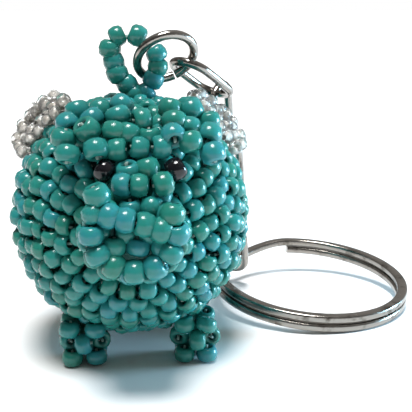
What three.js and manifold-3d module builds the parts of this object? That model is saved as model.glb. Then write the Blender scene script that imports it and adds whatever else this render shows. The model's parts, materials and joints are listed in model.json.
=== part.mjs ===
import * as THREE from "three";
import { mergeVertices } from "three/addons/utils/BufferGeometryUtils.js";
import Module from "manifold-3d";

const wasm = await Module();
wasm.setup();

// Sizes are in millimetres. The pig stands on Z = 0 and looks along -Y.

// Seed beads and the gap left between neighbouring solids
const BEAD_D = 2.2;
const BEAD_LENGTH = 1.4;
const BEAD_HOLE_D = 0.95;
const GAP = 0.3;

// Body: rounds of beads about the long Y axis
const BODY_Z = 15.2;
const BODY_RADIUS = 13;
const BODY_HEIGHT_RATIO = 1.01;
const ROUND_RADIUS = BODY_RADIUS - BEAD_D / 2;
const FRONT_DEPTH = 12;
const BACK_DEPTH = 13;
const MIDDLE_LENGTH = 1.8;
const ROUND_PITCH = 1.8;
const FRONT_ROUNDS = 9;
const BACK_ROUNDS = 10;
const BEAD_PITCH = 2.05;
const SNOUT_ROOT_ANGLE = 0.44;
const CORE_CLEARANCE = 0.15;

// Snout, eyes, ears, wings
const SNOUT_X = 0.1;
const SNOUT_Z = 16.3;
const SNOUT_ROUND_LENGTH = 1.7;
const SNOUT_ROUNDS = [
  { name: "snout_round_root", y: -12.9, halfWidth: 4.3, halfHeight: 3.5, beads: 14 },
  { name: "snout_round_middle", y: -14.9, halfWidth: 3.8, halfHeight: 2.9, beads: 12 },
  { name: "snout_rim", y: -16.9, halfWidth: 3.6, halfHeight: 2.5, beads: 12 },
];
const NOSTRIL_BAR_D = 1.9;
const NOSTRIL_BAR_X = 0.5;
const NOSTRIL_BAR_Y = -16.9;
const PLUG_Y = -14.7;
const EYE_MIDDLE = 0.9;
const EYE_D = 2.3;
const EYE_SPREAD = 3.35;
const EYE_Y = -11.9;
const EYE_Z = 22.35;
const EAR_LENGTH = 7.6;
const EAR_WIDTH = 7.6;
const EAR_THICKNESS = 1.7;
const EAR_MIDDLE = 0.2;
const EAR_SPREAD = 4.6;
const EAR_Y = -4.6;
const EAR_Z = 27.6;
const EAR_EDGE = 0.4;
const EAR_TILT = 0.5;
const EAR_ROLL = 0.3;
const WING_WIDTH = 9;
const WING_HEIGHT = 4.3;
const WING_THICKNESS = 1.4;
const WING_EDGE = 0.3;
const WING_Y = 1.6;
const WING_Z = 16;
const WING_SINK = 0.7;
const WING_LEAN = 0.85;
const WING_ANGLE = 0.82;

// Legs and tail
const LEG_D = 4.9;
const LEG_SPREAD = 6;
const LEG_MIDDLE = 0.7;
const FRONT_LEG_Y = -4.5;
const HIND_LEG_Y = 8;
const FOOT_HOLLOW_D = 1.3;
const TAIL_D = 1.9;

// Hanging loop of beads on a doubled thread
const LOOP_ROUND = 9;
const LOOP_NOTCH_D = 5;
const LOOP_X = 0.6;
const LOOP_Y = 2;
const LOOP_Z = 31.25;
const LOOP_HALF_WIDTH = 2.62;
const LOOP_HALF_HEIGHT = 3.15;
const LOOP_BEADS = 11;
const THREAD_D = 0.5;

// Jump ring, chain and split ring
const WIRE_D = 1;
const JUMP_RING_RADIUS = 3.2;
const JUMP_CENTRE = new THREE.Vector3(4.05, 2.2, 31.95);
const JUMP_ACROSS = new THREE.Vector3(0.934, 0, 0.358);
const JUMP_UP = new THREE.Vector3(-0.26, -0.68, 0.68).normalize();
const JUMP_START_ANGLE = -84;
const JUMP_END_ANGLE = 273;
const JUMP_STEP_ANGLE = 17;
const LINK_WIDTH = 5.4;
const LINK_CLEARANCE = 0.2;
const LINK_COUNT = 5;
const LINK_PITCH = 7;
const JUMP_HOOK_ANGLE = -55;
const FIRST_RUN = new THREE.Vector3(0.62, 0.6, -0.5).normalize();
const FIRST_ACROSS = new THREE.Vector3(-0.8, 0.6, 0.1);
const SPLIT_RING_D = 25;
const SPLIT_WIRE_WIDTH = 1.3;
const SPLIT_WIRE_HEIGHT = 0.95;
const SPLIT_COIL_PITCH = 1.15;
const SPLIT_STEP_ANGLE = 0.7;
const SPLIT_END_GAP = 0.06;
const SPLIT_START_ANGLE = 1.64;
const SPLIT_HOOK_ANGLE = 2.5;
const SPLIT_RADIUS = (SPLIT_RING_D - SPLIT_WIRE_WIDTH) / 2;
const SPLIT_CENTRE = new THREE.Vector3(22.8, 12.7, 2.6);
const SPLIT_TILT = new THREE.Euler(0.11, 0.06, 0);

const group = new THREE.Group();
group.name = "beaded_pig_key_ring";

function material(colour, roughness, metalness) {
  return new THREE.MeshStandardMaterial({ color: colour, roughness, metalness });
}

function add(name, geometry, surface, position = [0, 0, 0]) {
  const mesh = new THREE.Mesh(geometry, surface);
  mesh.name = name;
  mesh.position.set(...position);
  group.add(mesh);
  return mesh;
}

function ellipseProfile(radius, along, halfThick, halfWide, slope, points) {
  const profile = [];
  for (let i = 0; i <= points; i++) {
    const a = 2 * Math.PI * (i % points) / points;
    const u = halfThick * Math.cos(a);
    const v = halfWide * Math.sin(a);
    const r = radius + u * Math.cos(slope) - v * Math.sin(slope);
    const y = along + u * Math.sin(slope) + v * Math.cos(slope);
    profile.push(new THREE.Vector2(r, y));
  }
  return profile;
}

function stretch(geometry, x, z) {
  geometry.scale(x, 1, z);
  return geometry;
}

function toSolid(geometry) {
  const plain = geometry.clone();
  plain.deleteAttribute("normal");
  plain.deleteAttribute("uv");
  const merged = mergeVertices(plain, 1e-4);
  return new wasm.Manifold(new wasm.Mesh({
    numProp: 3,
    vertProperties: new Float32Array(merged.attributes.position.array),
    triVerts: new Uint32Array(merged.index.array),
  }));
}

function toGeometry(solid) {
  const mesh = solid.getMesh();
  const geometry = new THREE.BufferGeometry();
  geometry.setAttribute("position", new THREE.BufferAttribute(mesh.vertProperties, 3));
  geometry.setIndex(new THREE.BufferAttribute(mesh.triVerts, 1));
  geometry.computeVertexNormals();
  return geometry;
}

function wireSection(radius) {
  const shape = new THREE.Shape();
  shape.absarc(0, 0, radius, 0, 2 * Math.PI, false);
  return shape;
}

function sweep(section, curve, steps, sectionPoints) {
  return new THREE.ExtrudeGeometry(section, {
    extrudePath: curve,
    steps,
    curveSegments: sectionPoints,
    bevelEnabled: false,
  });
}

// Body rounds: the front dome widens from the snout root, the back dome closes at the tail
const rounds = [];
const frontStep = (Math.PI / 2 - SNOUT_ROOT_ANGLE) / (FRONT_ROUNDS - 1);
for (let i = 0; i < FRONT_ROUNDS; i++) {
  const a = SNOUT_ROOT_ANGLE + i * frontStep;
  rounds.push({
    radius: ROUND_RADIUS * Math.sin(a),
    y: -FRONT_DEPTH * Math.cos(a),
    slope: Math.atan2(-ROUND_RADIUS * Math.cos(a), FRONT_DEPTH * Math.sin(a)),
  });
}
for (let i = 0; i <= BACK_ROUNDS; i++) {
  const a = i * ROUND_PITCH / ((ROUND_RADIUS + BACK_DEPTH) / 2);
  rounds.push({
    radius: ROUND_RADIUS * Math.cos(a),
    y: MIDDLE_LENGTH + BACK_DEPTH * Math.sin(a),
    slope: Math.atan2(ROUND_RADIUS * Math.sin(a), BACK_DEPTH * Math.cos(a)),
  });
}
const turquoise = material(0x46a39b, 0.25, 0);
const loopRoot = new THREE.CylinderGeometry(LOOP_NOTCH_D / 2, LOOP_NOTCH_D / 2, 4, 16);
loopRoot.translate(LOOP_X, 0, LOOP_Z - LOOP_HALF_HEIGHT - BODY_Z);
rounds.forEach(({ radius, y, slope }, i) => {
  const beads = Math.max(6, Math.round(2 * Math.PI * radius / BEAD_PITCH));
  const halfWide = (ROUND_PITCH - GAP) / 2;
  const profile = ellipseProfile(radius, y, BEAD_D / 2, halfWide, slope, 6);
  let ring = stretch(new THREE.LatheGeometry(profile, beads), 1, BODY_HEIGHT_RATIO);
  if (i === LOOP_ROUND) {
    ring = toGeometry(toSolid(ring).subtract(toSolid(loopRoot).translate([0, y, 0])));
  }
  add(`body_round_${String(i + 1).padStart(2, "0")}`, ring, turquoise, [0, 0, BODY_Z]);
});

// Stuffing: one solid core inside the rounds, from behind the snout to the tail
const lining = BEAD_D / 2 + GAP;
const shrink = 1 - (lining + CORE_CLEARANCE) / ROUND_RADIUS;
const coreProfile = [new THREE.Vector2(0, -FRONT_DEPTH + lining)];
for (let i = 1; i < 12; i++) {
  const a = i * Math.PI / 12;
  const depth = a < Math.PI / 2 ? FRONT_DEPTH : BACK_DEPTH;
  const offset = a < Math.PI / 2 ? 0 : MIDDLE_LENGTH;
  coreProfile.push(new THREE.Vector2(
    ROUND_RADIUS * Math.sin(a) * shrink,
    offset - depth * Math.cos(a) * shrink,
  ));
}
coreProfile.push(new THREE.Vector2(0, MIDDLE_LENGTH + BACK_DEPTH - lining));
const core = stretch(new THREE.LatheGeometry(coreProfile, 20), 1, BODY_HEIGHT_RATIO);
const wadding = material(0x9fb8ae, 0.95, 0);
add("stuffing_core", core, wadding, [0, 0, BODY_Z]);

// Snout: three rounds of beads, the last one framing the flat front
for (const { name, y, halfWidth, halfHeight, beads } of SNOUT_ROUNDS) {
  const profile = ellipseProfile(halfWidth, 0, BEAD_D / 2, SNOUT_ROUND_LENGTH / 2, 0, 6);
  const ring = stretch(new THREE.LatheGeometry(profile, beads), 1, halfHeight / halfWidth);
  add(name, ring, turquoise, [SNOUT_X, y, SNOUT_Z]);
}

// Nostril bar: an upright pair of beads joined by their thread, held inside the rim
const rim = SNOUT_ROUNDS[2];
const barHalf = rim.halfHeight * (1 - BEAD_D / 2 / rim.halfWidth) - GAP;
const bar = new THREE.CylinderGeometry(NOSTRIL_BAR_D / 2, NOSTRIL_BAR_D / 2, 2 * barHalf, 12);
bar.rotateX(Math.PI / 2);
add("nostril_bar", bar, turquoise, [NOSTRIL_BAR_X, NOSTRIL_BAR_Y, SNOUT_Z]);

// Snout stuffing: a small wad behind the nostril bar
const plug = new THREE.SphereGeometry(1, 12, 8);
plug.scale(2.2, 0.8, 1.2);
add("snout_stuffing", plug, wadding, [SNOUT_X, PLUG_Y, SNOUT_Z]);

// Eyes: one larger black bead each side of the bridge
const black = material(0x101214, 0.08, 0);
for (const [side, s] of [["left", -1], ["right", 1]]) {
  const eye = new THREE.SphereGeometry(EYE_D / 2, 14, 8);
  add(`eye_bead_${side}`, eye, black, [EYE_MIDDLE + s * EYE_SPREAD, EYE_Y, EYE_Z]);
}

// Ears: rounded leaves that flop forward from the top of the head
for (const [side, s] of [["left", -1], ["right", 1]]) {
  const leaf = new THREE.Shape();
  leaf.moveTo(-EAR_WIDTH / 2, 0);
  leaf.quadraticCurveTo(0, 1.6, EAR_WIDTH / 2, 0);
  leaf.bezierCurveTo(EAR_WIDTH / 2 + 0.4, -4.2, 2.2, -EAR_LENGTH + 0.6, 0.6, -EAR_LENGTH);
  leaf.bezierCurveTo(-2.4, -EAR_LENGTH - 0.2, -EAR_WIDTH / 2 - 0.6, -4.4, -EAR_WIDTH / 2, 0);
  const flap = new THREE.ExtrudeGeometry(leaf, {
    depth: EAR_THICKNESS - 2 * EAR_EDGE,
    bevelThickness: EAR_EDGE,
    bevelSize: EAR_EDGE,
    bevelSegments: 1,
    curveSegments: 6,
  });
  const ear = add(`ear_${side}`, flap, turquoise, [EAR_MIDDLE + s * EAR_SPREAD, EAR_Y, EAR_Z]);
  ear.rotation.set(EAR_TILT, s * EAR_ROLL, 0);
}

// Wings: fans of clear beads standing on the shoulders, leaning back
const crystal = material(0xcfcac4, 0.15, 0);
for (const [side, s] of [["left", -1], ["right", 1]]) {
  const fan = new THREE.Shape();
  fan.moveTo(-WING_WIDTH / 2, 0);
  fan.quadraticCurveTo(0, 2.2, WING_WIDTH / 2, 0);
  fan.bezierCurveTo(WING_WIDTH / 2 + 0.6, WING_HEIGHT, 1.5, WING_HEIGHT, 0, WING_HEIGHT);
  fan.bezierCurveTo(-1.5, WING_HEIGHT, -WING_WIDTH / 2 - 0.6, WING_HEIGHT, -WING_WIDTH / 2, 0);
  const plate = new THREE.ExtrudeGeometry(fan, {
    depth: WING_THICKNESS - 2 * WING_EDGE,
    bevelThickness: WING_EDGE,
    bevelSize: WING_EDGE,
    bevelSegments: 1,
    curveSegments: 6,
  });
  const shoulder = new THREE.Group();
  shoulder.rotation.y = s * WING_ANGLE;
  shoulder.position.set(0, WING_Y, WING_Z);
  group.add(shoulder);
  const wing = new THREE.Mesh(plate, crystal);
  wing.name = `wing_${side}`;
  wing.rotation.x = Math.PI / 2 - WING_LEAN;
  wing.position.set(0, 0, BODY_RADIUS - WING_SINK);
  shoulder.add(wing);
}

// Legs: short tubes with a hollow foot, their tops cut to the curve of the belly
const belly = new THREE.SphereGeometry(1, 32, 24);
belly.scale(BODY_RADIUS + GAP, FRONT_DEPTH + BEAD_D / 2 + GAP, BODY_RADIUS * BODY_HEIGHT_RATIO + GAP);
const legProfile = [
  [0, 0.8], [FOOT_HOLLOW_D / 2, 0.8], [FOOT_HOLLOW_D / 2, 0], [LEG_D / 2 - 0.5, 0],
  [LEG_D / 2, 0.9], [LEG_D / 2 - 0.35, 1.85], [LEG_D / 2, 2.8], [LEG_D / 2 - 0.35, 3.7],
  [LEG_D / 2, 4.7], [LEG_D / 2 - 0.35, 5.6], [0, 6.2],
].map(([r, z]) => new THREE.Vector2(r, z));
for (const [end, y, centre] of [["front", FRONT_LEG_Y, 0], ["hind", HIND_LEG_Y, MIDDLE_LENGTH]]) {
  for (const [side, s] of [["left", -1], ["right", 1]]) {
    const tube = new THREE.LatheGeometry(legProfile, 14);
    tube.rotateX(Math.PI / 2);
    tube.translate(s * LEG_SPREAD + LEG_MIDDLE, y, 0);
    const hollow = toSolid(belly).translate([0, centre, BODY_Z]);
    add(`leg_${end}_${side}`, toGeometry(toSolid(tube).subtract(hollow)), turquoise);
  }
}

// Tail: a short curl behind the body
const tailCurve = new THREE.CatmullRomCurve3([
  new THREE.Vector3(0, MIDDLE_LENGTH + BACK_DEPTH + 1.6, BODY_Z + 0.2),
  new THREE.Vector3(0.4, MIDDLE_LENGTH + BACK_DEPTH + 3.2, BODY_Z + 1),
  new THREE.Vector3(1.4, MIDDLE_LENGTH + BACK_DEPTH + 4, BODY_Z + 2.6),
  new THREE.Vector3(1.2, MIDDLE_LENGTH + BACK_DEPTH + 3.4, BODY_Z + 4.4),
]);
add("tail", sweep(wireSection(TAIL_D / 2), tailCurve, 8, 4), turquoise);

// Hanging loop: beads threaded on a closed oval of nylon
const beadProfile = [];
const beadCorners = [
  [0, 0.9], [0.35, 0.8], [0.8, 0.55], [1, 0.2], [1, -0.2], [0.8, -0.55], [0.35, -0.8], [0, -0.9], [0, 0.9],
];
for (const [out, along] of beadCorners) {
  const r = BEAD_HOLE_D / 2 + out * (BEAD_D - BEAD_HOLE_D) / 2;
  beadProfile.push(new THREE.Vector2(r, -along * BEAD_LENGTH / 2));
}
class LoopPath extends THREE.Curve {
  getPoint(t, target = new THREE.Vector3()) {
    const a = 2 * Math.PI * t;
    const x = LOOP_X + LOOP_HALF_WIDTH * Math.sin(a);
    return target.set(x, LOOP_Y, LOOP_Z - LOOP_HALF_HEIGHT * Math.cos(a));
  }
}
const loopPath = new LoopPath();
for (let i = 0; i < LOOP_BEADS; i++) {
  const at = (i + 0.5) / LOOP_BEADS;
  const centre = loopPath.getPointAt(at);
  const bead = add(
    `loop_bead_${String(i + 1).padStart(2, "0")}`,
    new THREE.LatheGeometry(beadProfile, 10),
    turquoise,
    centre.toArray(),
  );
  bead.quaternion.setFromUnitVectors(new THREE.Vector3(0, 1, 0), loopPath.getTangentAt(at));
}
const thread = new THREE.TorusGeometry(1, THREAD_D / 2, 6, 26);
const threadPlaces = thread.attributes.position;
for (let i = 0; i < threadPlaces.count; i++) {
  const x = threadPlaces.getX(i);
  const y = threadPlaces.getY(i);
  const r = Math.hypot(x, y);
  const px = x / r * (LOOP_HALF_WIDTH + r - 1);
  const pz = y / r * (LOOP_HALF_HEIGHT + r - 1);
  threadPlaces.setXYZ(i, px, -threadPlaces.getZ(i), pz);
}
thread.computeVertexNormals();
add("loop_thread", thread, material(0xdfe6e4, 0.3, 0), [LOOP_X, LOOP_Y, LOOP_Z]);

// Jump ring: one turn of round wire with a gap between its cut ends
const steel = material(0xc9ccce, 0.15, 1);
function jumpPoint(degrees) {
  const a = THREE.MathUtils.degToRad(degrees);
  return JUMP_CENTRE.clone()
    .addScaledVector(JUMP_ACROSS, JUMP_RING_RADIUS * Math.cos(a))
    .addScaledVector(JUMP_UP, JUMP_RING_RADIUS * Math.sin(a));
}
const jumpPoints = [];
for (let degrees = JUMP_START_ANGLE; degrees <= JUMP_END_ANGLE; degrees += JUMP_STEP_ANGLE) {
  jumpPoints.push(jumpPoint(degrees));
}
const jumpCurve = new THREE.CatmullRomCurve3(jumpPoints);
add("jump_ring", sweep(wireSection(WIRE_D / 2), jumpCurve, 36, 4), steel);

// Chain: closed oval links from the jump ring down to the split ring
function oval(length, width, wire) {
  const bend = (width - wire) / 2;
  const link = new THREE.TorusGeometry(bend, wire / 2, 8, 16);
  link.rotateZ(Math.PI / 16);
  const places = link.attributes.position;
  const reach = (length - width) / 2;
  for (let i = 0; i < places.count; i++) {
    places.setX(i, places.getX(i) + Math.sign(places.getX(i)) * reach);
  }
  link.computeVertexNormals();
  return link;
}

const hook = (WIRE_D + LINK_CLEARANCE) / 2;
const pivots = [jumpPoint(JUMP_HOOK_ANGLE).addScaledVector(FIRST_RUN, -hook)];
pivots.push(pivots[0].clone().addScaledVector(FIRST_RUN, LINK_PITCH));
const ringHook = SPLIT_CENTRE.clone().add(new THREE.Vector3(
  Math.cos(SPLIT_HOOK_ANGLE) * SPLIT_RADIUS,
  Math.sin(SPLIT_HOOK_ANGLE) * SPLIT_RADIUS,
  0,
).applyEuler(SPLIT_TILT));
const run = ringHook.clone().sub(pivots[1]).normalize();
for (let i = 2; i <= LINK_COUNT; i++) {
  pivots.push(pivots[i - 1].clone().addScaledVector(run, LINK_PITCH));
}
let across = FIRST_ACROSS.clone();
for (let i = 0; i < LINK_COUNT; i++) {
  const along = pivots[i + 1].clone().sub(pivots[i]).normalize();
  across.addScaledVector(along, -across.dot(along)).normalize();
  const flat = new THREE.Vector3().crossVectors(along, across);
  const basis = new THREE.Matrix4().makeBasis(along, across, flat);
  const length = LINK_PITCH + 2 * hook + WIRE_D;
  const link = add(`chain_link_${i + 1}`, oval(length, LINK_WIDTH, WIRE_D), steel);
  link.position.copy(pivots[i]).add(pivots[i + 1]).multiplyScalar(0.5);
  link.quaternion.setFromRotationMatrix(basis);
  across = flat;
}

// Split ring: one flattened wire in two coils, stepping from the lower to the upper one
class SplitPath extends THREE.Curve {
  getPoint(t, target = new THREE.Vector3()) {
    const turn = t * (4 * Math.PI - SPLIT_STEP_ANGLE - SPLIT_END_GAP);
    const a = SPLIT_START_ANGLE - turn;
    const rise = THREE.MathUtils.smoothstep(turn, 2 * Math.PI - SPLIT_STEP_ANGLE, 2 * Math.PI);
    const z = (rise - 0.5) * SPLIT_COIL_PITCH;
    return target.set(SPLIT_RADIUS * Math.cos(a), SPLIT_RADIUS * Math.sin(a), z);
  }
}
const wire = new THREE.Shape();
const flatHalf = SPLIT_WIRE_HEIGHT / 2;
const wideHalf = SPLIT_WIRE_WIDTH / 2;
wire.moveTo(-flatHalf + 0.25, -wideHalf);
wire.lineTo(flatHalf - 0.25, -wideHalf);
wire.lineTo(flatHalf, -wideHalf + 0.3);
wire.lineTo(flatHalf, wideHalf - 0.3);
wire.lineTo(flatHalf - 0.25, wideHalf);
wire.lineTo(-flatHalf + 0.25, wideHalf);
wire.lineTo(-flatHalf, wideHalf - 0.3);
wire.lineTo(-flatHalf, -wideHalf + 0.3);
const splitRing = add("split_ring", sweep(wire, new SplitPath(), 72, 1), steel);
splitRing.position.copy(SPLIT_CENTRE);
splitRing.rotation.copy(SPLIT_TILT);

// Origin: on the resting plane, at the middle of the whole object's outline
group.updateMatrixWorld(true);
const extent = new THREE.Box3().setFromObject(group, true);
const middle = extent.getCenter(new THREE.Vector3());
group.position.set(-middle.x, -middle.y, -extent.min.z);

export default group;
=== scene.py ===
import json
import math
import random

import bpy
from mathutils import Matrix, Vector


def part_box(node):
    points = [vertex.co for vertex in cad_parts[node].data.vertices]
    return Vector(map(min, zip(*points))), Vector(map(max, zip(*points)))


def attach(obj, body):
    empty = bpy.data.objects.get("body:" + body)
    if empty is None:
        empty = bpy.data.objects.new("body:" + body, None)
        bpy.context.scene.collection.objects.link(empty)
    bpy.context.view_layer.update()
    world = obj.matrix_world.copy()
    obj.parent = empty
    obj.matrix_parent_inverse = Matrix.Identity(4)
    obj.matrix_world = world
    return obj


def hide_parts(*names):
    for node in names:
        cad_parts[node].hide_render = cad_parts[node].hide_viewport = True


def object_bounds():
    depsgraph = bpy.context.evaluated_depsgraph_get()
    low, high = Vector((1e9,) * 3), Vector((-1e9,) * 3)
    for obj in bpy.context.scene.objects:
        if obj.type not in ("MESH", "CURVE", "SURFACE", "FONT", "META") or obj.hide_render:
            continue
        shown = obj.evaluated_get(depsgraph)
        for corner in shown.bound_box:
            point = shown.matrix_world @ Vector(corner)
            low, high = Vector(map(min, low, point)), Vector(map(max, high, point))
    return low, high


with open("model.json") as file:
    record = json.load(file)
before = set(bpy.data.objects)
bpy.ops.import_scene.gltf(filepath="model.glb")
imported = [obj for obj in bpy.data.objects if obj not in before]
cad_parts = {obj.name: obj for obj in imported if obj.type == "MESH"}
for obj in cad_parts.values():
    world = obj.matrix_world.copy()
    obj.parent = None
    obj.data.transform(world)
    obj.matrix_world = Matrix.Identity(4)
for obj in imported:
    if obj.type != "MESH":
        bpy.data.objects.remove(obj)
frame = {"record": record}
cad_low, cad_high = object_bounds()

# Camera.
# It stands in front of the pig, a little above the hanging loop, and looks down on the snout.
# It is turned a little toward the split ring, with a long lens.
CAMERA_DISTANCE = 0.0736
CAMERA_ABOVE_LOOP = 0.0024
CAMERA_BESIDE = 0.01035
CAMERA_DIP_DEGREES = 13.5
CAMERA_TURN_DEGREES = 5.14
camera_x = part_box("stuffing_core")[0].x + CAMERA_BESIDE
bpy.ops.object.select_all(action="DESELECT")
bpy.ops.object.camera_add(
    location=(camera_x, cad_low.y - CAMERA_DISTANCE, cad_high.z + CAMERA_ABOVE_LOOP),
    rotation=(math.radians(90 - CAMERA_DIP_DEGREES), 0, math.radians(-CAMERA_TURN_DEGREES)),
)
camera = bpy.context.object
camera.data.lens = 74.8
camera.data.sensor_width = 36
camera.data.clip_start = 0.001
bpy.context.scene.camera = camera

# Stuffing.
# A ball of cotton wadding fills the body, and a small wad fills the snout. Its dark teal colour is painted
# shade, standing for the deep shade in the gaps between the beads.
# It is pushed in before the last round of beads closes, and the bead net holds it.
core_low, core_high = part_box("stuffing_core")
PIG_MIDDLE = (core_low + core_high) / 2
CORE_MIDDLE_Y = 1.4
WAD_SHRINK = 0.98
TUFT_SPACING = 0.0028
TUFT_DEPTH = 0.0006
TUFT_LEVEL = 0.8


def on_pig(x, y, z):
    """A place in millimetres from the pig's upright centre line, with z above the floor."""
    return Vector((PIG_MIDDLE.x, PIG_MIDDLE.y - CORE_MIDDLE_Y / 1000, 0)) + Vector((x, y, z)) / 1000


def start_material(name, **sockets):
    material = bpy.data.materials.new(name)
    material.use_nodes = True
    shader = material.node_tree.nodes["Principled BSDF"]
    for socket, value in sockets.items():
        shader.inputs[socket.replace("_", " ")].default_value = value
    return material, material.node_tree, shader


def add_node(tree, kind, **sockets):
    node = tree.nodes.new(kind)
    for socket, value in sockets.items():
        node.inputs[socket.replace("_", " ")].default_value = value
    return node


def add_ramp(tree, source, stops):
    ramp = tree.nodes.new("ShaderNodeValToRGB")
    ramp.color_ramp.elements.remove(ramp.color_ramp.elements[1])
    ramp.color_ramp.elements[0].position = stops[0][0]
    ramp.color_ramp.elements[0].color = (*stops[0][1], 1)
    for position, colour in stops[1:]:
        ramp.color_ramp.elements.new(position).color = (*colour, 1)
    tree.links.new(source, ramp.inputs["Fac"])
    return ramp.outputs["Color"]


def add_span(tree, source, low, high):
    span = add_node(tree, "ShaderNodeMapRange", To_Min=low, To_Max=high)
    tree.links.new(source, span.inputs["Value"])
    return span.outputs["Result"]


def add_bump(tree, shader, height, distance, strength):
    bump = add_node(tree, "ShaderNodeBump", Strength=strength, Distance=distance)
    tree.links.new(height, bump.inputs["Height"])
    tree.links.new(bump.outputs["Normal"], shader.inputs["Normal"])


# Fine grain, shared by the wadding, the beads and the thread
grain = bpy.data.node_groups.new("fine_grain", "ShaderNodeTree")
for socket in ("Cloud Scale", "Speck Scale"):
    grain.interface.new_socket(socket, in_out="INPUT", socket_type="NodeSocketFloat")
for socket in ("Cloud", "Speck"):
    grain.interface.new_socket(socket, in_out="OUTPUT", socket_type="NodeSocketFloat")
grain_in = grain.nodes.new("NodeGroupInput")
grain_out = grain.nodes.new("NodeGroupOutput")
grain_place = grain.nodes.new("ShaderNodeTexCoord")
for socket, detail in (("Cloud", 3.0), ("Speck", 6.0)):
    noise = add_node(grain, "ShaderNodeTexNoise", Detail=detail, Roughness=0.6)
    grain.links.new(grain_place.outputs["Object"], noise.inputs["Vector"])
    grain.links.new(grain_in.outputs[f"{socket} Scale"], noise.inputs["Scale"])
    spread = add_node(grain, "ShaderNodeMapRange", From_Min=0.3, From_Max=0.7)
    grain.links.new(noise.outputs["Fac"], spread.inputs["Value"])
    grain.links.new(spread.outputs["Result"], grain_out.inputs[socket])


def add_grain(tree, cloud_scale, speck_scale):
    node = tree.nodes.new("ShaderNodeGroup")
    node.node_tree = grain
    node.inputs["Cloud Scale"].default_value = cloud_scale
    node.inputs["Speck Scale"].default_value = speck_scale
    return node.outputs


# Painted shade: the wadding is coloured dark teal to stand for the deep shade in the gaps between the beads.
wadding, tree, shader = start_material("wadding_painted_shade", Roughness=0.95, Sheen_Weight=0.4)
fibre = add_grain(tree, cloud_scale=700, speck_scale=5200)
wadding_shade_colour = add_ramp(tree, fibre["Cloud"], ((0.0, (0.008, 0.110, 0.095)), (1.0, (0.020, 0.200, 0.175))))
tree.links.new(wadding_shade_colour, shader.inputs["Base Color"])
add_bump(tree, shader, fibre["Speck"], distance=0.0002, strength=0.8)

lumps = bpy.data.textures.new("wadding_lumps", "CLOUDS")
lumps.noise_scale = TUFT_SPACING


def stuff(name, node):
    low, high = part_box(node)
    bpy.ops.object.select_all(action="DESELECT")
    bpy.ops.mesh.primitive_uv_sphere_add(segments=48, ring_count=28, radius=1, location=(low + high) / 2)
    wad = bpy.context.object
    wad.name = name
    wad.scale = (high - low) / 2 * WAD_SHRINK
    bpy.ops.object.transform_apply(location=True, rotation=True, scale=True)
    tufts = wad.modifiers.new("tufts", "DISPLACE")
    tufts.texture = lumps
    tufts.texture_coords = "LOCAL"
    tufts.strength = TUFT_DEPTH
    tufts.mid_level = TUFT_LEVEL
    bpy.ops.object.modifier_apply(modifier="tufts")
    bpy.ops.object.shade_smooth()
    wad.data.materials.append(wadding)
    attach(wad, "pig")
    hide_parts(node)


stuff("body_wadding", "stuffing_core")
stuff("snout_wadding", "snout_stuffing")

# Body rounds.
# Opaque turquoise glass seed beads, drawn as a tube, cut and tumbled round at the edges.
# They are threaded round by round on nylon, every other round with its holes the other way.
BEAD_WALL_MIDDLE = 0.00068
BEAD_WALL_HALF = 0.00045
BEAD_STRETCH = 1.85
BEAD_SIDES = 11
BEAD_EDGES = 8
STITCH_RADIUS = 0.00014
STITCH_HALF = 0.00084
ROUND_RADIUS = 11.9
ROUND_HEIGHT_RATIO = 1.01
FRONT_DEPTH = 12.0
BACK_DEPTH = 13.0
MIDDLE_LENGTH = 1.8
BODY_HEIGHT = 15.2
BEAD_PITCH = 2.02
NEAR_POLE = 0.995
FEWEST_BEADS = 5
ROUND_STAGGER = 0.3
HOLE_SWING = 0.24
CLOUD_SHARE = 0.28
TONE_SHARE = 0.78
LOOP_FOOT = Vector((0.6, 2.0, 27.7))
LOOP_FOOT_ROOM = 1.9

bpy.ops.object.select_all(action="DESELECT")
bpy.ops.mesh.primitive_circle_add(
    vertices=BEAD_EDGES,
    radius=BEAD_WALL_HALF,
    location=(BEAD_WALL_MIDDLE, 0, 0),
    rotation=(math.pi / 2, 0, 0),
)
bead_pattern = bpy.context.object
bead_pattern.name = "bead_pattern"
bpy.ops.object.transform_apply(location=True, rotation=True, scale=True)
bpy.ops.object.mode_set(mode="EDIT")
bpy.ops.mesh.select_all(action="SELECT")
bpy.ops.transform.resize(value=(1, 1, BEAD_STRETCH), center_override=(0, 0, 0))
bpy.ops.mesh.spin(steps=BEAD_SIDES, angle=2 * math.pi, center=(0, 0, 0), axis=(0, 0, 1))
bpy.ops.mesh.select_all(action="SELECT")
bpy.ops.mesh.remove_doubles(threshold=0.000005)
bpy.ops.mesh.normals_make_consistent(inside=False)
bpy.ops.object.mode_set(mode="OBJECT")
bpy.ops.object.shade_smooth()
# Marks the wall inside the hole. The glass materials mix it toward their hole colour, which is painted shade
# with thread dirt on the turquoise and black beads.
in_hole = bead_pattern.data.attributes.new("in_hole", "FLOAT", "POINT")
for vertex, value in zip(bead_pattern.data.vertices, in_hole.data):
    value.value = 1.0 if math.hypot(vertex.co.x, vertex.co.y) < BEAD_WALL_MIDDLE * 0.8 else 0.0

# One stitch: the bit of thread inside a bead, with both ends showing and a slight bow
bpy.ops.object.select_all(action="DESELECT")
bpy.ops.mesh.primitive_circle_add(
    vertices=5, radius=STITCH_RADIUS, location=(0, 0, -STITCH_HALF), fill_type="NGON",
)
stitch_pattern = bpy.context.object
stitch_pattern.name = "stitch_pattern"
bpy.ops.object.transform_apply(location=True, rotation=True, scale=True)
bpy.ops.object.mode_set(mode="EDIT")
bpy.ops.mesh.select_all(action="SELECT")
for bow in (0.00008, 0.00003, -0.00003, -0.00008):
    bpy.ops.mesh.extrude_region_move(TRANSFORM_OT_translate={"value": (bow, 0, STITCH_HALF / 2)})
bpy.ops.mesh.select_all(action="SELECT")
bpy.ops.mesh.normals_make_consistent(inside=False)
bpy.ops.object.mode_set(mode="OBJECT")
bpy.ops.object.shade_smooth()


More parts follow.
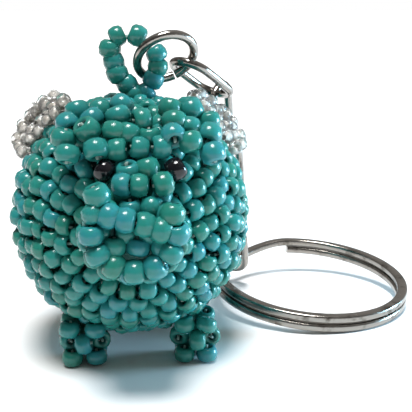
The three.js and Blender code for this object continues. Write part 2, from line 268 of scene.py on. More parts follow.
def copy_along(name, pattern, places, seed):
    """Copies a pattern to each (centre, hole direction, size) and joins the copies into one piece."""
    chance = random.Random(seed)
    copies = []
    for centre, hole, size in places:
        copy = pattern.copy()
        copy.data = pattern.data.copy()
        spin = Matrix.Rotation(chance.uniform(0, 6), 4, "Z")
        turn = hole.to_track_quat("Z", "Y").to_matrix().to_4x4() @ spin
        grow = Matrix.Diagonal((size, size, size * chance.uniform(0.92, 1.1), 1))
        copy.data.transform(Matrix.Translation(centre) @ turn @ grow)
        tone = copy.data.attributes.new("bead_tone", "FLOAT", "POINT")
        tone.data.foreach_set("value", [chance.random()] * len(copy.data.vertices))
        bpy.context.collection.objects.link(copy)
        copies.append(copy)
    bpy.ops.object.select_all(action="DESELECT")
    for copy in copies:
        copy.select_set(True)
    bpy.context.view_layer.objects.active = copies[0]
    if len(copies) > 1:
        bpy.ops.object.join()
    copies[0].name = name
    return copies[0]


def loosen(centre, hole, chance, lean, drift):
    """Hand threading leaves each bead a little out of place and out of line."""
    sway = Vector([chance.uniform(-1, 1) for _ in range(3)])
    shift = Vector([chance.uniform(-1, 1) for _ in range(3)])
    return centre + shift * drift, (hole + sway * lean).normalized()


def add_glass_detail(parts, stops, hole_colour, smooth, dull, cloud_scale=900, speck_scale=7000):
    """Tone from bead to bead, clouding in the glass, painted shade and thread dirt in the holes, and fine
    pits.
    """
    material, tree, shader = parts
    glass = add_grain(tree, cloud_scale, speck_scale)
    tone = tree.nodes.new("ShaderNodeAttribute")
    tone.attribute_name = "bead_tone"
    mixed = tree.nodes.new("ShaderNodeMath")
    mixed.operation = "MULTIPLY_ADD"
    mixed.inputs[1].default_value = CLOUD_SHARE
    tree.links.new(glass["Cloud"], mixed.inputs[0])
    softened = tree.nodes.new("ShaderNodeMath")
    softened.operation = "MULTIPLY"
    softened.inputs[1].default_value = TONE_SHARE
    tree.links.new(tone.outputs["Fac"], softened.inputs[0])
    tree.links.new(softened.outputs["Value"], mixed.inputs[2])
    body_colour = add_ramp(tree, mixed.outputs["Value"], stops)
    # Painted shade with thread dirt: the wall inside each hole is mixed toward the hole colour.
    hole = tree.nodes.new("ShaderNodeAttribute")
    hole.attribute_name = "in_hole"
    hole_tint = tree.nodes.new("ShaderNodeMix")
    hole_tint.data_type = "RGBA"
    colour_a = next(s for s in hole_tint.inputs if s.name == "A" and s.type == "RGBA")
    colour_b = next(s for s in hole_tint.inputs if s.name == "B" and s.type == "RGBA")
    colour_b.default_value = (*hole_colour, 1)
    tree.links.new(hole.outputs["Fac"], hole_tint.inputs["Factor"])
    tree.links.new(body_colour, colour_a)
    result = next(s for s in hole_tint.outputs if s.type == "RGBA")
    tree.links.new(result, shader.inputs["Base Color"])
    tree.links.new(add_span(tree, glass["Speck"], smooth, dull), shader.inputs["Roughness"])
    add_bump(tree, shader, glass["Speck"], distance=0.00002, strength=0.25)
    return material


turquoise = add_glass_detail(
    start_material("turquoise_glass", IOR=1.48),
    (
        (0.0, (0.014, 0.165, 0.118)),
        (0.4, (0.016, 0.195, 0.163)),
        (0.75, (0.018, 0.210, 0.198)),
        (1.0, (0.022, 0.210, 0.245)),
    ),
    # The dark hole colour is painted shade with thread dirt inside each hole.
    hole_colour=(0.006, 0.070, 0.065),
    smooth=0.13,
    dull=0.28,
)

nylon, tree, shader = start_material("nylon_thread", Roughness=0.45, Sheen_Weight=0.2)
strand = add_grain(tree, cloud_scale=1500, speck_scale=9000)
fibres = add_ramp(tree, strand["Cloud"], ((0.0, (0.12, 0.24, 0.21)), (1.0, (0.34, 0.46, 0.42))))
tree.links.new(fibres, shader.inputs["Base Color"])
add_bump(tree, shader, strand["Speck"], distance=0.00003, strength=0.7)


def finish_piece(piece, material, body, nodes=()):
    piece.data.materials.clear()
    piece.data.materials.append(material)
    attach(piece, body)
    if nodes:
        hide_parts(*nodes)
    return piece


body_places = []
for number in range(1, 21):
    node = f"body_round_{number:02d}"
    low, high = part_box(node)
    y = ((low.y + high.y) / 2 - on_pig(0, 0, 0).y) * 1000
    depth, centre_y = (FRONT_DEPTH, 0) if y < MIDDLE_LENGTH / 2 else (BACK_DEPTH, MIDDLE_LENGTH)
    along = max(-NEAR_POLE, min(NEAR_POLE, (y - centre_y) / depth))
    radius = ROUND_RADIUS * math.sqrt(1 - along * along)
    girth = 2 * math.pi * radius * (1 + ROUND_HEIGHT_RATIO) / 2
    count = max(FEWEST_BEADS, round(girth / BEAD_PITCH))
    chance = random.Random(number)
    places = []
    for i in range(count):
        turn = 2 * math.pi * (i + number % 2 / 2 + ROUND_STAGGER * math.sin(number)) / count
        beside, above = math.cos(turn), math.sin(turn)
        spot = Vector((radius * beside, y, BODY_HEIGHT + radius * ROUND_HEIGHT_RATIO * above))
        if (spot - LOOP_FOOT).length < LOOP_FOOT_ROOM:
            continue
        outward = Vector((
            spot.x / ROUND_RADIUS ** 2,
            (y - centre_y) / depth ** 2,
            (spot.z - BODY_HEIGHT) / (ROUND_RADIUS * ROUND_HEIGHT_RATIO) ** 2,
        )).normalized()
        around = Vector((-above, 0, beside * ROUND_HEIGHT_RATIO)).normalized()
        across = outward.cross(around)
        swing = chance.gauss(0, HOLE_SWING) + (0 if number % 2 else math.pi / 2)
        hole = around * math.cos(swing) + across * math.sin(swing)
        centre, hole = loosen(on_pig(*spot), hole, chance, lean=0.1, drift=0.0001)
        centre += outward * chance.uniform(-0.0002, 0.0001)
        places.append((centre, hole, chance.uniform(0.94, 1.06)))
    body_places += places
    beads = copy_along(f"beads_{node}", bead_pattern, places, number)
    finish_piece(beads, turquoise, "pig", [node])
finish_piece(copy_along("body_thread", stitch_pattern, body_places, 50), nylon, "pig")

# Snout.
# Three rounds of the same beads stand out from the face, and the last one frames a sunk front.
# A lip of four beads crosses it, short rows fill the nostrils, and more beads bridge up to the eyes.
SNOUT_X = 0.2
# Each round: its node, y, height, half width, half height and number of beads
SNOUT_ROUNDS = (
    ("snout_round_root", -12.9, 16.6, 4.3, 4.0, 14),
    ("snout_round_middle", -14.7, 16.4, 4.1, 3.4, 13),
)
SNOUT_HOLLOW = Vector((1.1, -14.7, 20.1))
SNOUT_HOLLOW_ROOM = 2.2
RIM_DEPTH = -16.6
RIM_HEIGHT = 17.3
RIM_HALF_WIDTH = 3.85
RIM_HALF_HEIGHT = 3.5
RIM_BEADS = 7
LOBE_STEP = 1.85
LOBE_LEAN = 0.3
LIP_LEFT = Vector((-2.1, -16.6, 19.2))
LIP_RIGHT = Vector((2.6, -16.7, 17.8))
LIP_BEADS = 4
NOSTRIL_CORNER = Vector((-1.7, -15.9, 16.0))
NOSTRIL_PITCH = 2.2
NOSTRIL_STEP = Vector((-1.1, 0.6, 1.1))
BRIDGE_X = 0.9
BRIDGE_PITCH = 1.9
# Each row: its y, its height and its number of beads
BRIDGE_ROWS = (
    (-14.2, 19.2, 2), (-14.2, 21.2, 3), (-12.6, 22.6, 2), (-11.3, 24.1, 3), (-10.0, 25.4, 2), (-9.0, 26.6, 1),
)


def bead_patch(name, beads, seed, nodes=(), lean=0.12, big=1.0, drift=0.00012):
    """A patch of beads at places in millimetres, each with the direction of its hole."""
    chance = random.Random(seed)
    places = []
    for spot, hole in beads:
        centre, hole = loosen(on_pig(*spot), Vector(hole).normalized(), chance, lean, drift)
        places.append((centre, hole, big * chance.uniform(0.97, 1.05)))
    patch = copy_along(name, bead_pattern, places, seed)
    finish_piece(patch, turquoise, "pig", nodes)
    return places


snout_places = []
for seed, (node, y, height, half_width, half_height, count) in enumerate(SNOUT_ROUNDS, 60):
    beads = []
    for i in range(count):
        turn = 2 * math.pi * (i + seed % 2 / 2) / count
        beside, above = math.cos(turn), math.sin(turn)
        spot = Vector((SNOUT_X + half_width * beside, y, height + half_height * above))
        if (spot - SNOUT_HOLLOW).length > SNOUT_HOLLOW_ROOM:
            beads.append((spot, (0, 1, 0) if seed % 2 else (-above, 0, beside)))
    snout_places += bead_patch(f"beads_{node}", beads, seed, nodes=[node], lean=0.3, big=1.02)

# The rim: a half ring of beads, a lobe that rises at each end of it, and a lip across
rim_beads = []
for i in range(RIM_BEADS):
    turn = math.pi * (1 + i / (RIM_BEADS - 1))
    across, rise = RIM_HALF_WIDTH * math.cos(turn), RIM_HALF_HEIGHT * math.sin(turn)
    rim_beads.append((Vector((SNOUT_X + across, RIM_DEPTH, RIM_HEIGHT + rise)), (-rise, 0, across)))
for side, height in ((-1, 2), (1, 1)):
    for step in range(1, height + 1):
        x = SNOUT_X + side * (RIM_HALF_WIDTH - LOBE_LEAN * step)
        spot = Vector((x, RIM_DEPTH + LOBE_LEAN * step, RIM_HEIGHT + LOBE_STEP * step))
        rim_beads.append((spot, (LOBE_LEAN * side, 0, 1)))
for i in range(LIP_BEADS):
    rim_beads.append((LIP_LEFT.lerp(LIP_RIGHT, i / (LIP_BEADS - 1)), LIP_RIGHT - LIP_LEFT))
snout_places += bead_patch("beads_snout_rim", rim_beads, 63, nodes=["snout_rim"], lean=0.25, big=1.1)

nostril_beads = []
for row in range(2):
    for i in range(3):
        spot = NOSTRIL_CORNER + NOSTRIL_STEP * row + Vector((NOSTRIL_PITCH * i, 0, 0))
        nostril_beads.append((spot, (row, 0, 1 - row)))
snout_places += bead_patch("beads_nostril_bar", nostril_beads, 64, nodes=["nostril_bar"], lean=0.25)

bridge_beads = []
for y, z, count in BRIDGE_ROWS:
    for i in range(count):
        x = BRIDGE_X + BRIDGE_PITCH * (i - (count - 1) / 2)
        bridge_beads.append((Vector((x, y, z)), (count % 2, 0, 1 - count % 2)))
snout_places += bead_patch("beads_bridge", bridge_beads, 65, lean=0.35, big=1.05, drift=0.0003)
finish_piece(copy_along("snout_thread", stitch_pattern, snout_places, 66), nylon, "pig")

# Eyes.
# Two black glass beads, one each side of the bridge, a size larger than the rest.
# Each is sewn with its hole looking to the side and up, so its round wall faces forward.
EYE_WALL_MIDDLE = 0.00064
EYE_WALL_HALF = 0.0005
EYE_STRETCH = 1.8
black_glass = add_glass_detail(
    start_material("black_glass", IOR=1.5),
    ((0.0, (0.004, 0.004, 0.006)), (1.0, (0.012, 0.012, 0.016))),
    # The hole colour is painted shade with thread dirt inside each hole.
    hole_colour=(0.002, 0.002, 0.002),
    smooth=0.05,
    dull=0.12,
)
bpy.ops.object.select_all(action="DESELECT")
bpy.ops.mesh.primitive_torus_add(
    major_segments=24, minor_segments=14, major_radius=EYE_WALL_MIDDLE, minor_radius=EYE_WALL_HALF,
)
eye_pattern = bpy.context.object
eye_pattern.name = "eye_pattern"
bpy.ops.object.mode_set(mode="EDIT")
bpy.ops.mesh.select_all(action="SELECT")
bpy.ops.transform.resize(value=(1, 1, EYE_STRETCH), center_override=(0, 0, 0))
bpy.ops.object.mode_set(mode="OBJECT")
bpy.ops.object.shade_smooth()
for side, s in (("left", -1), ("right", 1)):
    node = f"eye_bead_{side}"
    low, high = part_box(node)
    hole = Vector((0.9 * s, 0.1, 0.5)).normalized()
    eye = copy_along(f"glass_{node}", eye_pattern, [((low + high) / 2, hole, 1.0)], 70 + s)
    finish_piece(eye, black_glass, "pig", [node])

# Ears.
# Each ear is a flat patch of beads sewn to the top of the head along one edge.
# Its own weight folds it forward over the brow, in four rows of one to three beads.
EAR_BEAD = 1.12
EAR_ARCH = 0.4
# Each ear: its side, the middle of its fold, its tip, the step between beads, and the beads in each row
EARS = (
    ("left", (-3.1, -6.1, 27.6), (-4.4, -11.9, 24.2), (2.3, -0.3, 0.35), (3, 3, 3, 2)),
    ("right", (6.2, -4.2, 27.6), (6.0, -10.8, 24.6), (1.95, 0.1, -0.65), (1, 3, 3, 3)),
)
ear_places = []
for seed, (side, fold, tip, pitch, rows) in enumerate(EARS, 80):
    fold, tip, pitch = Vector(fold), Vector(tip), Vector(pitch)
    beads = []
    for row, count in enumerate(rows):
        part = row / (len(rows) - 1)
        middle = fold.lerp(tip, part) + Vector((0, 0, EAR_ARCH * math.sin(math.pi * part)))
        for i in range(count):
            beads.append((middle + pitch * (i - (count - 1) / 2), (0, 0.2, 1)))
    node = f"ear_{side}"
    ear_places += bead_patch(f"beads_{node}", beads, seed, nodes=[node], lean=0.6, big=EAR_BEAD, drift=0.0003)
finish_piece(copy_along("ear_thread", stitch_pattern, ear_places, 82), nylon, "pig")

# Wings.
# Clear glass beads of a smaller size, each with a silvered hole that flashes through the glass.
# They are netted into a fan of four rows and sewn to the shoulder along the lowest row.
WING_BEAD = 0.74
# Each row: how far up the wing it lies, its half width and its number of beads
WING_ROWS = ((0.1, 3.9, 6), (1.3, 4.2, 7), (2.5, 3.6, 6), (3.2, 2.2, 4))
WING_DEPTH = 0.4
WING_DROOP = 0.05
WING_CURVE = 0.8
WING_SINK = 0.4
WING_BEAD_LEAN = 0.7
WING_BEAD_DRIFT = 0.00018
WING_PLACE = math.radians(45.5)
WING_SLOPE = math.radians(43)
WING_LEAN = math.radians(29.5)
WING_FOOT_RADIUS = 12.7
WING_FOOT_Y = 1.5
crystal_glass = add_glass_detail(
    start_material("clear_glass", IOR=1.45, Transmission_Weight=0.9),
    ((0.0, (0.92, 0.89, 0.84)), (1.0, (1.0, 0.99, 0.97))),
    hole_colour=(0.95, 0.92, 0.88),
    smooth=0.02,
    dull=0.2,
    cloud_scale=1500,
    speck_scale=5000,
)
silvering, tree, shader = start_material("silver_lining", Metallic=0.45)
foil = add_grain(tree, cloud_scale=2500, speck_scale=9000)
flakes = add_ramp(tree, foil["Cloud"], ((0.0, (0.80, 0.74, 0.66)), (1.0, (0.98, 0.96, 0.93))))
tree.links.new(flakes, shader.inputs["Base Color"])
tree.links.new(add_span(tree, foil["Speck"], 0.3, 0.6), shader.inputs["Roughness"])
add_bump(tree, shader, foil["Speck"], distance=0.00004, strength=0.8)

# The silvered tube of a clear bead: a thin sleeve inside the glass, round the hole
SLEEVE_WALL_HALF = 0.00005
SLEEVE_RADIUS = BEAD_WALL_MIDDLE - BEAD_WALL_HALF * 0.55
SLEEVE_STRETCH = 10
bpy.ops.object.select_all(action="DESELECT")
bpy.ops.mesh.primitive_circle_add(
    vertices=4, radius=SLEEVE_WALL_HALF, location=(SLEEVE_RADIUS, 0, 0), rotation=(math.pi / 2, 0, 0),
)
lining_pattern = bpy.context.object
lining_pattern.name = "lining_pattern"
bpy.ops.object.transform_apply(location=True, rotation=True, scale=True)
bpy.ops.object.mode_set(mode="EDIT")
bpy.ops.mesh.select_all(action="SELECT")
bpy.ops.transform.resize(value=(1, 1, SLEEVE_STRETCH), center_override=(0, 0, 0))
bpy.ops.mesh.spin(steps=BEAD_SIDES, angle=2 * math.pi, center=(0, 0, 0), axis=(0, 0, 1))
bpy.ops.mesh.select_all(action="SELECT")
bpy.ops.mesh.remove_doubles(threshold=0.000002)
bpy.ops.mesh.normals_make_consistent(inside=False)
bpy.ops.object.mode_set(mode="OBJECT")
bpy.ops.object.shade_smooth()

for side, s in (("left", -1), ("right", 1)):
    across = Vector((math.sin(WING_SLOPE), 0, -math.cos(WING_SLOPE) * s))
    outward = Vector((math.cos(WING_SLOPE) * s, 0, math.sin(WING_SLOPE)))
    up = outward * math.sin(WING_LEAN) + Vector((0, math.cos(WING_LEAN), 0))
    facing = across.cross(up).normalized()
    foot_x = WING_FOOT_RADIUS * math.cos(WING_PLACE) * s
    foot_z = BODY_HEIGHT + WING_FOOT_RADIUS * math.sin(WING_PLACE)
    foot = on_pig(foot_x, WING_FOOT_Y, foot_z)
    chance = random.Random(90 + s)
    places = []
    for row, (rise, half_width, count) in enumerate(WING_ROWS):
        for i in range(count):
            beside = half_width * (2 * (i + 0.5) / count - 1)
            droop = 1.0 - WING_DROOP * beside * beside
            lift = rise + WING_CURVE * droop - WING_SINK
            spot = foot + (across * beside + up * lift + facing * WING_DEPTH) / 1000
            hole = across if row % 2 else up
            centre, hole = loosen(spot, hole, chance, WING_BEAD_LEAN, WING_BEAD_DRIFT)
            places.append((centre, hole, WING_BEAD * chance.uniform(0.92, 1.1)))
    fan = copy_along(f"beads_wing_{side}", bead_pattern, places, 92 + s)
    finish_piece(fan, crystal_glass, "pig", [f"wing_{side}"])
    sleeves = copy_along(f"silvering_wing_{side}", lining_pattern, places, 92 + s)
    finish_piece(sleeves, silvering, "pig")

# Legs.
# Each leg is a short tube of three rounds of four beads, open at the foot.
# The beads of the lowest round stand on end, so the pig rests on four bead ends round a hole.
LEG_BEAD = 1.03
LEG_BEADS_PER_ROUND = 4
LEG_SWAY = 0.12
# Each round: its height, its radius, its start, the way of its holes, and the beads' lean and drift
LEG_ROUNDS = (
    (0.95, 1.66, 0.5, "up", 0.08, 0.00002),
    (2.55, 1.62, 0.0, "around", 0.3, 0.00012),
    (4.2, 1.8, 0.5, "up", 0.3, 0.00012),
)
leg_places = []
for seed, node in enumerate(("leg_front_left", "leg_front_right", "leg_hind_left", "leg_hind_right"), 100):
    low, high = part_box(node)
    middle = (low + high) / 2
    chance = random.Random(seed)
    places = []
    for height, radius, start, way, lean, drift in LEG_ROUNDS:
        for i in range(LEG_BEADS_PER_ROUND):
            turn = 2 * math.pi / LEG_BEADS_PER_ROUND * (i + start) + chance.uniform(-LEG_SWAY, LEG_SWAY)
            out = Vector((math.cos(turn), math.sin(turn), 0))
            around = Vector((-math.sin(turn), math.cos(turn), 0))
            spot = Vector((middle.x, middle.y, height / 1000)) + out * radius / 1000
            hole = around if way == "around" else Vector((0, 0, 1))
            centre, hole = loosen(spot, hole, chance, lean, drift)
            places.append((centre, hole, LEG_BEAD))
    leg_places += places
    leg = copy_along(f"beads_{node}", bead_pattern, places, seed)
    finish_piece(leg, turquoise, "pig", [node])
finish_piece(copy_along("leg_thread", stitch_pattern, leg_places, 105), nylon, "pig")

# Tail.
# A single string of beads leaves the last body round, curls up and is knotted at its end bead.
# The beads are threaded end to end, so they touch along the curl.
TAIL_CURL = 2.85
TAIL_CENTRE_Y = 15.8
TAIL_CENTRE_Z = 19.1
TAIL_START = math.radians(-88)
TAIL_STEP = math.radians(23.5)
TAIL_BEADS = 6
TAIL_SIDE_STEP = 0.25
tail_beads = []
for i in range(TAIL_BEADS):
    turn = TAIL_START + TAIL_STEP * i
    back, rise = math.cos(turn), math.sin(turn)
    spot = Vector((TAIL_SIDE_STEP * i, TAIL_CENTRE_Y + TAIL_CURL * back, TAIL_CENTRE_Z + TAIL_CURL * rise))
    tail_beads.append((spot, (0.2, -rise, back)))
tail_places = bead_patch("beads_tail", tail_beads, 110, nodes=["tail"], big=0.86)
finish_piece(copy_along("tail_thread", stitch_pattern, tail_places, 111), nylon, "pig")

# Hanging loop.
# Eleven beads on a doubled nylon thread stand up from the back and carry the jump ring.
# The string starts and ends in the same body round, and the beads bunch at its foot.
LOOP_BEAD = 1.04
LOOP_Y = 2.0
LOOP_THREAD_RADIUS = 0.00025
LOOP_ROUTE = (
    (1.9, 28.15), (2.7, 29.55), (3.2, 30.9), (3.1, 32.3), (1.05, 34.2), (-1.1, 34.2),
    (-1.9, 32.9), (-1.5, 31.5), (-1.2, 30.25), (-0.1, 29.1), (0.6, 28.05),
)
loop_nodes = [f"loop_bead_{number:02d}" for number in range(1, 12)]
loop_spots = [on_pig(x, LOOP_Y, z) for x, z in LOOP_ROUTE]
chance = random.Random(120)
places = []
for i, spot in enumerate(loop_spots):
    along = loop_spots[(i + 1) % len(loop_spots)] - loop_spots[i - 1]
    centre, hole = loosen(spot, along.normalized(), chance, lean=0.05, drift=0.00004)
    places.append((centre, hole, LOOP_BEAD * chance.uniform(0.97, 1.05)))
hanging_loop = copy_along("beads_hanging_loop", bead_pattern, places, 120)
finish_piece(hanging_loop, turquoise, "bead_loop", loop_nodes)


def bend_wire(name, points, radius, closed=False, section=None):
    """A wire or thread along a line of places, made a mesh once it is bent."""
    bpy.ops.object.select_all(action="DESELECT")
    bpy.ops.curve.primitive_nurbs_path_add()
    wire = bpy.context.object
    wire.name = name
    wire.data.splines.clear()
    run = wire.data.splines.new("NURBS")
    run.points.add(len(points) - 1)
    for point, place in zip(run.points, points):
        point.co = (*place, 1)
    run.order_u = 4
    run.use_cyclic_u = closed
    run.use_endpoint_u = not closed
    run.resolution_u = 4
    wire.data.bevel_resolution = 3
    wire.data.bevel_depth = radius
    wire.data.use_fill_caps = not closed
    if section:
        wire.data.bevel_mode = "OBJECT"
        wire.data.bevel_object = section
        wire.data.twist_mode = "Z_UP"
    bpy.ops.object.convert(target="MESH")
    bpy.ops.object.shade_smooth_by_angle(angle=math.radians(50))
    return bpy.context.object


loop_thread = bend_wire("doubled_thread", loop_spots, LOOP_THREAD_RADIUS, closed=True)
finish_piece(loop_thread, nylon, "bead_loop", ["loop_thread"])

# Jump ring.
# Round nickel-plated steel wire bent to one turn and closed through the bead loop.
# Its two cut ends meet at the foot of the ring, and the plating is scuffed all over.
WIRE_RADIUS = 0.0005
JUMP_CENTRE = on_pig(4.05, 2.2, 31.95)
JUMP_ACROSS = Vector((0.934, 0, 0.358))
JUMP_UP = Vector((-0.26, -0.68, 0.68)).normalized()
JUMP_RADIUS = 0.0032
JUMP_START = -84
JUMP_END = 274
JUMP_STEP = 7

# Wear, shared by the ring, the chain and the split ring
wear = bpy.data.node_groups.new("plating_wear", "ShaderNodeTree")
for socket in ("Smudge Scale", "Scratch Scale"):
    wear.interface.new_socket(socket, in_out="INPUT", socket_type="NodeSocketFloat")
for socket in ("Smudge", "Scratch"):
    wear.interface.new_socket(socket, in_out="OUTPUT", socket_type="NodeSocketFloat")
wear_in = wear.nodes.new("NodeGroupInput")
wear_out = wear.nodes.new("NodeGroupOutput")
wear_place = wear.nodes.new("ShaderNodeTexCoord")
smudge = add_node(wear, "ShaderNodeTexNoise", Detail=4.0, Roughness=0.65)
wear.links.new(wear_place.outputs["Object"], smudge.inputs["Vector"])
wear.links.new(wear_in.outputs["Smudge Scale"], smudge.inputs["Scale"])
smudge_span = add_node(wear, "ShaderNodeMapRange", From_Min=0.35, From_Max=0.68)
wear.links.new(smudge.outputs["Fac"], smudge_span.inputs["Value"])
wear.links.new(smudge_span.outputs["Result"], wear_out.inputs["Smudge"])
drawn = wear.nodes.new("ShaderNodeMapping")
drawn.inputs["Rotation"].default_value = (0.3, 0.5, 0.8)
drawn.inputs["Scale"].default_value = (1.0, 9.0, 6.0)
scratch = add_node(wear, "ShaderNodeTexNoise", Detail=5.0, Roughness=0.7)
wear.links.new(wear_place.outputs["Object"], drawn.inputs["Vector"])
wear.links.new(drawn.outputs["Vector"], scratch.inputs["Vector"])
wear.links.new(wear_in.outputs["Scratch Scale"], scratch.inputs["Scale"])
scratch_span = add_node(wear, "ShaderNodeMapRange", From_Min=0.4, From_Max=0.75)
wear.links.new(scratch.outputs["Fac"], scratch_span.inputs["Value"])
wear.links.new(scratch_span.outputs["Result"], wear_out.inputs["Scratch"])


def plated_steel(name, dark, light, polished, rubbed):
    material, tree, shader = start_material(name, Metallic=1.0)
    marks = tree.nodes.new("ShaderNodeGroup")
    marks.node_tree = wear
    marks.inputs["Smudge Scale"].default_value = 420
    marks.inputs["Scratch Scale"].default_value = 900
    colour = add_ramp(tree, marks.outputs["Smudge"], ((0.0, light), (0.6, light), (1.0, dark)))
    tree.links.new(colour, shader.inputs["Base Color"])
    tree.links.new(add_span(tree, marks.outputs["Scratch"], polished, rubbed), shader.inputs["Roughness"])
    add_bump(tree, shader, marks.outputs["Scratch"], distance=0.00001, strength=0.3)
    return material


nickel = plated_steel(
    "nickel_plated_wire",
    dark=(0.10, 0.090, 0.080),
    light=(0.34, 0.32, 0.295),
    polished=0.12,
    rubbed=0.3,
)
jump_path = []
for degrees in range(JUMP_START, JUMP_END, JUMP_STEP):
    a = math.radians(degrees)
    jump_path.append(JUMP_CENTRE + (JUMP_ACROSS * math.cos(a) + JUMP_UP * math.sin(a)) * JUMP_RADIUS)
finish_piece(bend_wire("jump_ring_wire", jump_path, WIRE_RADIUS), nickel, "jump_ring", ["jump_ring"])

# Chain.
# Five closed oval links of the same wire, each turned a quarter against the last.
# They are stamped closed without a visible seam, and the last one carries the split ring.
LINK_WIDTH = 0.0054
LINK_LENGTH = 0.0092
FIRST_LINK_FACE = Vector((0.366, 0.343, 0.865))
hinges = {hinge["name"]: hinge for hinge in frame["record"]["behaviour"]["joints"]}
bpy.ops.object.select_all(action="DESELECT")
bpy.ops.mesh.primitive_torus_add(
    major_segments=48,
    minor_segments=14,
    major_radius=LINK_WIDTH / 2 - WIRE_RADIUS,
    minor_radius=WIRE_RADIUS,
)
link_pattern = bpy.context.object
link_pattern.name = "link_pattern"
for way in (-1, 1):
    bpy.ops.object.mode_set(mode="EDIT")
    bpy.ops.mesh.select_all(action="DESELECT")
    bpy.ops.object.mode_set(mode="OBJECT")
    for vertex in link_pattern.data.vertices:
        vertex.select = vertex.co.x * way > 0.000001
    bpy.ops.object.mode_set(mode="EDIT")
    bpy.ops.transform.translate(value=(way * (LINK_LENGTH - LINK_WIDTH) / 2, 0, 0))
    bpy.ops.object.mode_set(mode="OBJECT")
bpy.ops.object.shade_smooth()
for number in range(1, 6):
    node = f"chain_link_{number}"
    hinge = hinges[f"link_{number}_swing"]
    low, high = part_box(node)
    along = ((low + high) / 2 - Vector(hinge["pos_m"])).normalized()
    face = FIRST_LINK_FACE if number == 1 else Vector(hinge["axis"])
    across = face.cross(along).normalized()
    basis = Matrix((along, across, along.cross(across))).transposed().to_4x4()
    link = link_pattern.copy()
    link.data = link_pattern.data.copy()
    link.name = f"link_wire_{number}"
    link.data.transform(Matrix.Translation((low + high) / 2) @ basis)
    bpy.context.collection.objects.link(link)
    finish_piece(link, nickel, node, [node])

# Split ring.
# Flattened spring steel wound in two coils that press together, then nickel plated.
# One end steps over the other, so a key can be wound in between the coils.
SPLIT_CENTRE = on_pig(22.8, 12.7, 2.6)
SPLIT_TILT = Matrix.Rotation(0.11, 4, "X") @ Matrix.Rotation(0.06, 4, "Y")
SPLIT_RADIUS = 0.01185
SPLIT_WIDE_HALF = 0.00065
SPLIT_FLAT_HALF = 0.000475
SPLIT_PITCH = 0.00115
SPLIT_STEP = 0.7
SPLIT_START = 1.64
SPLIT_END_GAP = 0.06
SPLIT_PATH_STEPS = 150
SECTION_POINTS = 16
SECTION_SQUARENESS = 0.55
bpy.ops.object.select_all(action="DESELECT")
bpy.ops.curve.primitive_bezier_circle_add(radius=1)
flat_wire = bpy.context.object
flat_wire.name = "flat_wire_section"
flat_wire.data.splines.clear()
outline = flat_wire.data.splines.new("POLY")
outline.points.add(SECTION_POINTS - 1)
for i, point in enumerate(outline.points):
    a = 2 * math.pi * (i + 0.5) / SECTION_POINTS
    wide = math.copysign(abs(math.cos(a)) ** SECTION_SQUARENESS, math.cos(a)) * SPLIT_WIDE_HALF
    flat = math.copysign(abs(math.sin(a)) ** SECTION_SQUARENESS, math.sin(a)) * SPLIT_FLAT_HALF
    point.co = (wide, flat, 0, 1)
outline.use_cyclic_u = True
split_path = []
span = 4 * math.pi - SPLIT_STEP - SPLIT_END_GAP
for i in range(SPLIT_PATH_STEPS + 1):
    turn = span * i / SPLIT_PATH_STEPS
    rise = min(1, max(0, (turn - 2 * math.pi + SPLIT_STEP) / SPLIT_STEP))
    height = (rise * rise * (3 - 2 * rise) - 0.5) * SPLIT_PITCH
    a = SPLIT_START - turn
    spot = Vector((SPLIT_RADIUS * math.cos(a), SPLIT_RADIUS * math.sin(a), height))
    split_path.append(SPLIT_CENTRE + SPLIT_TILT.to_3x3() @ spot)
split_ring = bend_wire("split_ring_coils", split_path, 0, section=flat_wire)
spring_steel = plated_steel(
    "plated_spring_steel",
    dark=(0.09, 0.078, 0.065),
    light=(0.30, 0.28, 0.255),
    polished=0.14,
    rubbed=0.32,
)
finish_piece(split_ring, spring_steel, "split_ring", ["split_ring"])

for pattern in (bead_pattern, stitch_pattern, eye_pattern, lining_pattern, link_pattern, flat_wire):
    bpy.data.objects.remove(pattern)

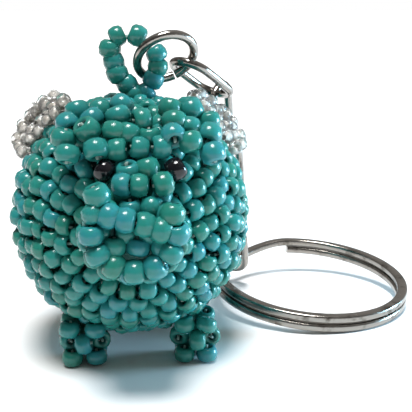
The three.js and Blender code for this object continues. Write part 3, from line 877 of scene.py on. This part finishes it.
# Floor and light.
# A plain pale table top under a wide soft overhead light, with a cooler window light from the right.
# The surround is white to look at and lights the pig most from behind, above and the right.
FLOOR_WIDTH = 6.0
SURROUND_BASE = 0.05
bpy.ops.object.select_all(action="DESELECT")
bpy.ops.mesh.primitive_plane_add(size=FLOOR_WIDTH, location=(0, 0, 0))
floor = bpy.context.object
floor.name = "floor"
floor.data.materials.append(start_material("pale_floor", Base_Color=(0.90, 0.90, 0.90, 1), Roughness=0.8)[0])

world = bpy.data.worlds.new("studio")
world.use_nodes = True
sky = world.node_tree
surround = sky.nodes["Background"]
surround.inputs["Color"].default_value = (1.0, 0.97, 0.94, 1)
look = sky.nodes.new("ShaderNodeTexCoord")
axes = sky.nodes.new("ShaderNodeSeparateXYZ")
sky.links.new(look.outputs["Generated"], axes.inputs["Vector"])
total = None
for axis, start, end, amount in (("Y", -0.3, 0.6, 0.22), ("X", -0.2, 1.0, 0.2), ("Z", 0.0, 0.9, 0.12)):
    part = add_node(sky, "ShaderNodeMapRange", From_Min=start, From_Max=end, To_Max=amount)
    sky.links.new(axes.outputs[axis], part.inputs["Value"])
    joined = sky.nodes.new("ShaderNodeMath")
    joined.inputs[1].default_value = SURROUND_BASE
    sky.links.new(part.outputs["Result"], joined.inputs[0])
    if total:
        sky.links.new(total, joined.inputs[1])
    total = joined.outputs["Value"]
sky.links.new(total, surround.inputs["Strength"])
white = sky.nodes.new("ShaderNodeBackground")
white.inputs["Color"].default_value = (1, 1, 1, 1)
seen = sky.nodes.new("ShaderNodeLightPath")
either = sky.nodes.new("ShaderNodeMixShader")
sky.links.new(seen.outputs["Is Camera Ray"], either.inputs["Fac"])
sky.links.new(surround.outputs["Background"], either.inputs[1])
sky.links.new(white.outputs["Background"], either.inputs[2])
sky.links.new(either.outputs["Shader"], sky.nodes["World Output"].inputs["Surface"])
bpy.context.scene.world = world

bpy.ops.object.light_add(type="SUN", rotation=(math.radians(11), math.radians(-3), 0))
overhead = bpy.context.object
overhead.name = "overhead_light"
overhead.data.energy = 4.3
overhead.data.angle = math.radians(22)
bpy.ops.object.light_add(type="AREA", location=(0.24, 0.02, 0.03))
window = bpy.context.object
window.name = "window_light"
window.data.size = 0.08
window.data.energy = 1.25
window.data.color = (0.42, 0.76, 1.0)
window.rotation_euler = (PIG_MIDDLE - window.location).to_track_quat("-Z", "Y").to_euler()
bpy.context.scene.view_settings.view_transform = "Standard"
